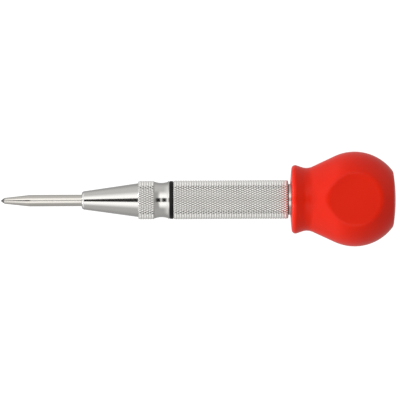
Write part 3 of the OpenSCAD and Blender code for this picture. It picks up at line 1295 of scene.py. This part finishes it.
@dataclass(kw_only=True)
class Barrel(Assembly):
    """The plated barrel: knurled grip, threaded spigot and stepped bore."""

    knurl: Knurl
    thread: Thread
    body: Body = Body.BARREL
    grip: Grip = Grip()
    screw: ScrewThread = ScrewThread()
    rows: int = 138
    relief_r: float = 5.4 * MM
    relief_len: float = 2.0 * MM
    spigot_edge: float = 0.5 * MM
    front_bore_r: float = 5.55 * MM
    counterbore_back: float = -13.05 * MM
    chamber_r: float = 4.0 * MM
    chamber_back: float = -9.85 * MM
    entry_r: float = 3.1 * MM
    throat_front: float = -5.85 * MM
    throat_r: float = 2.3 * MM
    throat_back: float = -1.85 * MM
    hammer_bore_r: float = 4.2 * MM
    break_edge: float = 0.1 * MM

    def build(self) -> list[bpy.types.Object]:
        """Turns the barrel, then knurls its grip and cuts its thread.

        Returns:
            The pieces.
        """
        low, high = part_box("barrel")
        front, crest, spigot_back = low.x, high.y, high.x
        grip_back = -front
        rim = crest - self.grip.edge
        thread_front = grip_back + self.relief_len
        thread_back = spigot_back - self.spigot_edge
        shoulder = (
            Outline()
            .to(grip_back, rim)
            .to(grip_back, self.relief_r)
            .to(thread_front, self.relief_r)
            .to(thread_front, self.screw.crest)
        )
        inside = (
            Outline()
            .to(thread_back, self.screw.crest)
            .to(spigot_back, self.screw.crest - self.spigot_edge, self.break_edge)
            .to(spigot_back, self.hammer_bore_r, self.break_edge)
            .to(self.throat_back, self.hammer_bore_r)
            .to(self.throat_back, self.throat_r)
            .to(self.throat_front, self.throat_r)
            .to(self.chamber_back, self.entry_r)
            .to(self.chamber_back, self.chamber_r)
            .to(self.counterbore_back, self.chamber_r)
            .to(self.counterbore_back, self.front_bore_r)
            .to(front, self.front_bore_r, self.break_edge)
            .to(front, rim)
        )
        grip = self.grip.band(front, grip_back, crest)
        screw = self.screw.band(thread_front, thread_back)
        # The barrel's plating gets a painted shadow line at the grip's back, where it meets the cap
        finish = Plating("plated_barrel", cuts=(grip, screw), oil_at=grip_back)
        barrel = turned("barrel_grip", [shoulder, inside])
        self.screw.cut(self.thread, barrel, finish, screw)
        self.grip.cut(self.knurl, barrel, finish, grip, self.rows)
        return [self.hand_over(barrel, "barrel", Slot.BARREL_CHROME, finish)]


@dataclass(frozen=True)
class Winding:
    """A coil spring: its solid, the joint that presses its front, its wire, mean radii and turns.

    It ends short of its solid by the room that the piece behind it needs to come in.
    """

    node: str
    joint: str
    wire: float
    front_r: float
    back_r: float
    turns: float
    room: float = 0.0


@dataclass(kw_only=True)
class Mechanism(Assembly):
    """What works inside: the two springs, the release rod, the hammer and the spring seat."""

    nodes: dict[str, bpy.types.Object]
    body: Body = Body.BARREL
    main: Winding = Winding(
        node="main_spring",
        joint="hammer_lift",
        wire=1.4 * MM,
        front_r=3.2 * MM,
        back_r=3.2 * MM,
        turns=13.0,
        room=0.56 * MM,
    )
    light: Winding = Winding(
        node="return_spring",
        joint="punch_stroke",
        wire=0.6 * MM,
        front_r=2.8 * MM,
        back_r=3.4 * MM,
        turns=8.0,
    )
    fit: float = 0.05 * MM
    steps: int = 36
    closed_turns: float = 1.0
    stroke: float = 7.0 * MM

    def build(self) -> list[bpy.types.Object]:
        """Winds the springs and finishes the other pieces.

        Returns:
            The pieces.
        """
        coil = CoilSpring()
        rod_steel = GroundSteel("turned_rod_steel", shine=(0.5, 0.5, 0.5), roughness=0.24)
        hammer_steel = GroundSteel(
            "hardened_hammer_steel", shine=(0.2, 0.2, 0.215), roughness=0.34, stain=0.25
        )
        return [
            self.wind(coil, self.main),
            self.wind(coil, self.light),
            self.dress(self.nodes["release_rod"], rod_steel),
            self.dress(self.nodes["hammer"], hammer_steel),
            self.dress(self.nodes["spring_seat"], hammer_steel),
        ]

    def wind(self, coil: CoilSpring, sizes: Winding) -> bpy.types.Object:
        """Winds one spring in the space of its solid.

        Args:
            coil: The tree that winds it.
            sizes: The spring's sizes.

        Returns:
            The spring.
        """
        low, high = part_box(sizes.node)
        finish = DrawnWire("drawn_spring_wire")
        spring = piece_from(f"{sizes.node}_coil", bpy.data.meshes.new(sizes.node))
        coil.grow(
            spring,
            finish,
            Start=low.x,
            End=high.x - sizes.room,
            Front_radius=sizes.front_r,
            Back_radius=sizes.back_r,
            Wire_radius=sizes.wire / 2,
            Turns=sizes.turns,
            Closed_turns=self.closed_turns,
            Steps=self.steps,
        )
        self.hand_over(spring, sizes.node, Slot.SPRING_STEEL, finish)
        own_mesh(spring)
        return spring


@dataclass(kw_only=True)
class PalmCap(Assembly):
    """The red palm cap with its two round flats, moulded round the threaded insert."""

    nodes: dict[str, bpy.types.Object]
    body: Body = Body.CAP
    rim_r: float = 12.0 * MM
    rim_edge: float = 1.3 * MM
    face_rise: float = 0.55 * MM
    neck_r: float = 11.0 * MM
    neck_at: float = 5.8 * MM
    hollow_r: float = 5.0 * MM
    bulb_at: float = 22.6 * MM
    crown_r: float = 9.6 * MM
    crown_soft: float = 0.55 * MM
    flat_soft: float = 0.6 * MM
    mouth_r: float = 5.8 * MM
    mouth_edge: float = 0.12 * MM
    face_steps: int = 10
    rim_steps: int = 20
    neck_steps: int = 20
    flank_steps: int = 40
    bulb_steps: int = 90
    crown_steps: int = 24

    def build(self) -> list[bpy.types.Object]:
        """Builds the cap and finishes the insert inside it.

        Returns:
            The pieces.
        """
        low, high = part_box("palm_cap")
        insert_low, insert_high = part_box("thread_insert")
        cap = turned("cap_red", [self.outline(low, high, insert_low, insert_high)])
        self.press_flats(cap, high.z)
        plastic = MouldedPlastic("red_moulded_plastic")
        brass = GroundSteel("turned_brass", shine=(0.62, 0.45, 0.2), roughness=0.25, stain=0.12)
        return [
            self.hand_over(cap, "palm_cap", Slot.RED_PLASTIC, plastic),
            self.dress(self.nodes["thread_insert"], brass),
        ]

    def outline(
        self, low: Vector, high: Vector, insert_low: Vector, insert_high: Vector
    ) -> Outline:
        """Draws the cap from the hollow round its insert to the middle of its crown.

        Args:
            low: The cap's lowest corner.
            high: Its highest corner.
            insert_low: The insert's lowest corner.
            insert_high: Its highest corner.

        Returns:
            The outline.
        """
        front, back, bulb_r = low.x, high.x, high.y
        rim = (front + self.face_rise + self.rim_edge, self.rim_r - self.rim_edge)
        neck = (front + self.neck_at, self.neck_r + self.hollow_r)
        bulb = (front + self.bulb_at, 0.0)
        rim_turn = tangent_angle(rim, self.rim_edge, neck, self.hollow_r, 1)
        flank = tangent_angle(bulb, bulb_r, neck, self.hollow_r, -1)
        crown_turn = math.asin(self.crown_r / bulb_r)
        face_r = dome_radius(self.face_rise, rim[1])
        face_turn = math.asin(rim[1] / face_r)
        mouth_turn = math.asin((self.mouth_r + self.mouth_edge) / face_r)
        crown_rise = back - bulb[0] - bulb_r * math.cos(crown_turn)
        dome_r = dome_radius(crown_rise, self.crown_r)
        dome_turn = math.asin(self.crown_r / dome_r)
        soft = self.crown_soft
        face_from, face_to = math.pi - mouth_turn, math.pi - face_turn
        face = arc((front + face_r, 0.0), face_r, face_from, face_to, self.face_steps)
        lip = arc(rim, self.rim_edge, math.pi, rim_turn, self.rim_steps)
        hollow = arc(neck, self.hollow_r, math.pi + rim_turn, math.pi + flank, self.neck_steps)
        ball = arc(bulb, bulb_r, flank, crown_turn + soft / bulb_r, self.bulb_steps)
        crown = arc((back - dome_r, 0.0), dome_r, dome_turn - soft / dome_r, 0.0, self.crown_steps)
        return (
            Outline()
            .to(insert_high.x, 0.0)
            .to(insert_high.x, insert_high.y)
            .to(insert_low.x, insert_high.y)
            .to(insert_low.x, self.mouth_r)
            .to(front + self.mouth_edge, self.mouth_r, self.mouth_edge)
            .curve(face)
            .curve(lip[1:])
            .curve(hollow)
            .slope(*ball[0], steps=self.flank_steps)
            .curve(ball[1:])
            .to(bulb[0] + bulb_r * math.cos(crown_turn), self.crown_r, soft)
            .curve(crown)
        )

    def press_flats(self, cap: bpy.types.Object, flat: float) -> None:
        """Presses the bulb in above and below, with a soft edge round each flat.

        Args:
            cap: The turned cap.
            flat: Height of the flats.
        """
        # The height eases in along a parabola, from soft below the flat to soft above it
        soft = self.flat_soft
        for corner in cap.data.vertices:
            height = abs(corner.co.z)
            over = height - (flat - soft)
            if over > 0:
                eased = flat - max(0.0, 2 * soft - over) ** 2 / (4 * soft)
                corner.co.z = math.copysign(eased, corner.co.z)
        cap.data.update()


@dataclass(frozen=True)
class LampPair:
    """Two soft lamps, one on each side: their place, size and power, and if gloss mirrors them."""

    place: Place
    size: float
    power: float
    mirrored: bool


@dataclass(frozen=True)
class Sky:
    """The light from all round: white panels over the tool, with a narrow gap, and a darker rear.

    A span holds where a field of light begins and where it is full. Its two values are parts of the
    direction, or angles from straight above in degrees, across the tool or along it. The near side
    is the one at -Y, and the core is the middle of the gap, where it is less dark.
    """

    near: float = 0.64
    far: float = 0.86
    far_y: Span = (-0.5, 0.5)
    below: float = 0.5
    below_across: Span = (90.0, 150.0)
    front: float = 1.5
    front_x: Span = (-0.1, -0.8)
    front_z: Span = (-0.6, -0.1)
    rear: float = 0.6
    rear_x: Span = (0.12, 0.45)
    rear_z: Span = (0.3, 0.6)
    panel: float = 1.9
    panel_across: Span = (66.0, 28.0)
    panel_front: Span = (-60.0, -25.0)
    panel_rear: Span = (22.0, 5.0)
    gap: float = 0.03
    gap_across: Span = (16.0, 10.5)
    gap_along: Span = (42.0, 22.0)
    core: float = 0.5
    core_along: Span = (9.0, 3.0)

    def build(self) -> None:
        """Paints the light on a new world."""
        world = bpy.data.worlds.new("studio_sky")
        world.use_nodes = True
        sheet = Sheet(world.node_tree)
        x, y, z = sheet.axes(sheet.node("ShaderNodeTexCoord", output="Generated"))
        across = sheet.math("DEGREES", sheet.math("ARCTAN2", abs(y), z))
        along = sheet.math("DEGREES", sheet.math("ARCTAN2", x, z))
        light = sheet.fade(sheet.ramp(y, *self.far_y), self.near, self.far)
        light = sheet.fade(sheet.ramp(across, *self.below_across), light, self.below)
        ahead = sheet.ramp(x, *self.front_x) * sheet.ramp(z, *self.front_z)
        light = sheet.fade(ahead, light, self.front)
        behind = sheet.ramp(x, *self.rear_x) * sheet.ramp(z, *self.rear_z)
        light = sheet.fade(behind, light, self.rear)
        panel = sheet.ramp(across, *self.panel_across)
        panel = panel * sheet.ramp(along, *self.panel_front) * sheet.ramp(along, *self.panel_rear)
        light = sheet.fade(panel, light, self.panel)
        gap = sheet.ramp(across, *self.gap_across) * sheet.ramp(abs(along), *self.gap_along)
        gap = gap * (1 - self.core * sheet.ramp(abs(along), *self.core_along))
        light = sheet.fade(gap, light, self.gap)
        back = sheet.node("ShaderNodeBackground", {"Color": (1.0, 1.0, 1.0), "Strength": light})
        sheet.node("ShaderNodeOutputWorld", {"Surface": back})
        bpy.context.scene.world = world


@dataclass
class Studio:
    """The pale floor, the soft light and the camera, which looks straight down on the tool."""

    camera_height: float = 1.5
    view_width: float = 0.14
    sensor: float = 36.0
    view_middle: Point = (-10.77 * MM, -0.06 * MM)
    roll: float = math.radians(-0.3)
    floor_r: float = 4.5
    floor_sides: int = 64
    floor_gap: float = 0.05 * MM
    dome_steps: int = 16
    sky: Sky = Sky()
    high_lamps: LampPair = LampPair(place=(-0.47, 0.31, 0.56), size=0.16, power=1.1, mirrored=False)
    low_lamps: LampPair = LampPair(place=(-0.68, 0.18, 0.0), size=0.06, power=1.5, mirrored=True)

    def build(self) -> None:
        """Sets the colours' transform and makes the floor, the sky, the lamps and the camera."""
        bpy.context.scene.view_settings.view_transform = "Standard"
        self.build_floor()
        self.sky.build()
        self.build_lamps()
        self.build_camera()

    def build_floor(self) -> None:
        """Lays the floor under the point and the cap's flat, and closes it with a pale dome."""
        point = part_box("punch_pin")[0]
        low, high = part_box("palm_cap")
        middle_x = low.x + PalmCap.bulb_at
        flat_r = math.sqrt(high.y**2 - high.z**2)
        rest = Vector((middle_x - flat_r, 0.0, low.z))
        tip = Vector((point.x, 0.0, -PunchPin.tip_r))
        along = (rest - tip).normalized()
        up = along.cross(Vector((0.0, 1.0, 0.0)))
        centre = rest - up * self.floor_gap
        floor = turned("studio_floor", [self.floor_outline()], self.floor_sides)
        floor.data.transform(up.to_track_quat("X", "Z").to_matrix().to_4x4())
        floor.data.transform(Matrix.Translation(centre))
        floor.data.materials.append(StagePaint("pale_floor").material())
        floor.visible_glossy = False
        floor.visible_diffuse = False
        floor.visible_shadow = False

    def floor_outline(self) -> Outline:
        """The outline of the flat floor and of the dome over it, along the floor's own normal."""
        dome = arc((0.0, 0.0), self.floor_r, 0.0, math.pi / 2, self.dome_steps)
        return Outline().curve(dome).to(0.0, 0.0)

    def build_lamps(self) -> None:
        """Hangs two pairs of soft lamps beyond the point's end, all aimed at the tool."""
        for pair in (self.high_lamps, self.low_lamps):
            for side in (-1, 1):
                data = bpy.data.lights.new("soft_lamp", "AREA")
                data.size = pair.size
                data.energy = pair.power
                lamp = bpy.data.objects.new("soft_lamp", data)
                lamp.location = (pair.place[0], side * pair.place[1], pair.place[2])
                lamp.rotation_euler = (-lamp.location).to_track_quat("-Z", "Y").to_euler()
                lamp.visible_glossy = pair.mirrored
                lamp.visible_camera = False
                bpy.context.scene.collection.objects.link(lamp)

    def build_camera(self) -> None:
        """Hangs the camera over the tool, with +X to the right of the picture."""
        data = bpy.data.cameras.new("camera")
        data.sensor_width = self.sensor
        data.lens = self.sensor * self.camera_height / self.view_width
        camera = bpy.data.objects.new("camera", data)
        camera.location = (*self.view_middle, self.camera_height)
        camera.rotation_euler = (0.0, 0.0, self.roll)
        bpy.context.scene.collection.objects.link(camera)
        bpy.context.scene.camera = camera


def clear_scene() -> None:
    """Removes what a new Blender file holds."""
    for thing in list(bpy.data.objects):
        bpy.data.objects.remove(thing, do_unlink=True)


def main() -> None:
    """Builds the sub-assemblies in order, then the studio."""
    logging.basicConfig(level=logging.INFO, format="%(message)s")
    clear_scene()
    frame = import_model()
    nodes = frame["nodes"]
    knurl, thread = Knurl(), Thread()
    parts: list[Assembly] = [
        PunchPin(),
        Nose(knurl=knurl, thread=thread),
        Barrel(knurl=knurl, thread=thread),
        Mechanism(nodes=nodes),
        PalmCap(nodes=nodes),
    ]
    for part in parts:
        pieces = part.build()
        LOG.info("%s: %s", type(part).__name__, ", ".join(piece.name for piece in pieces))
    Studio().build()
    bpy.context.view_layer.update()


if __name__ == "__main__":
    main()
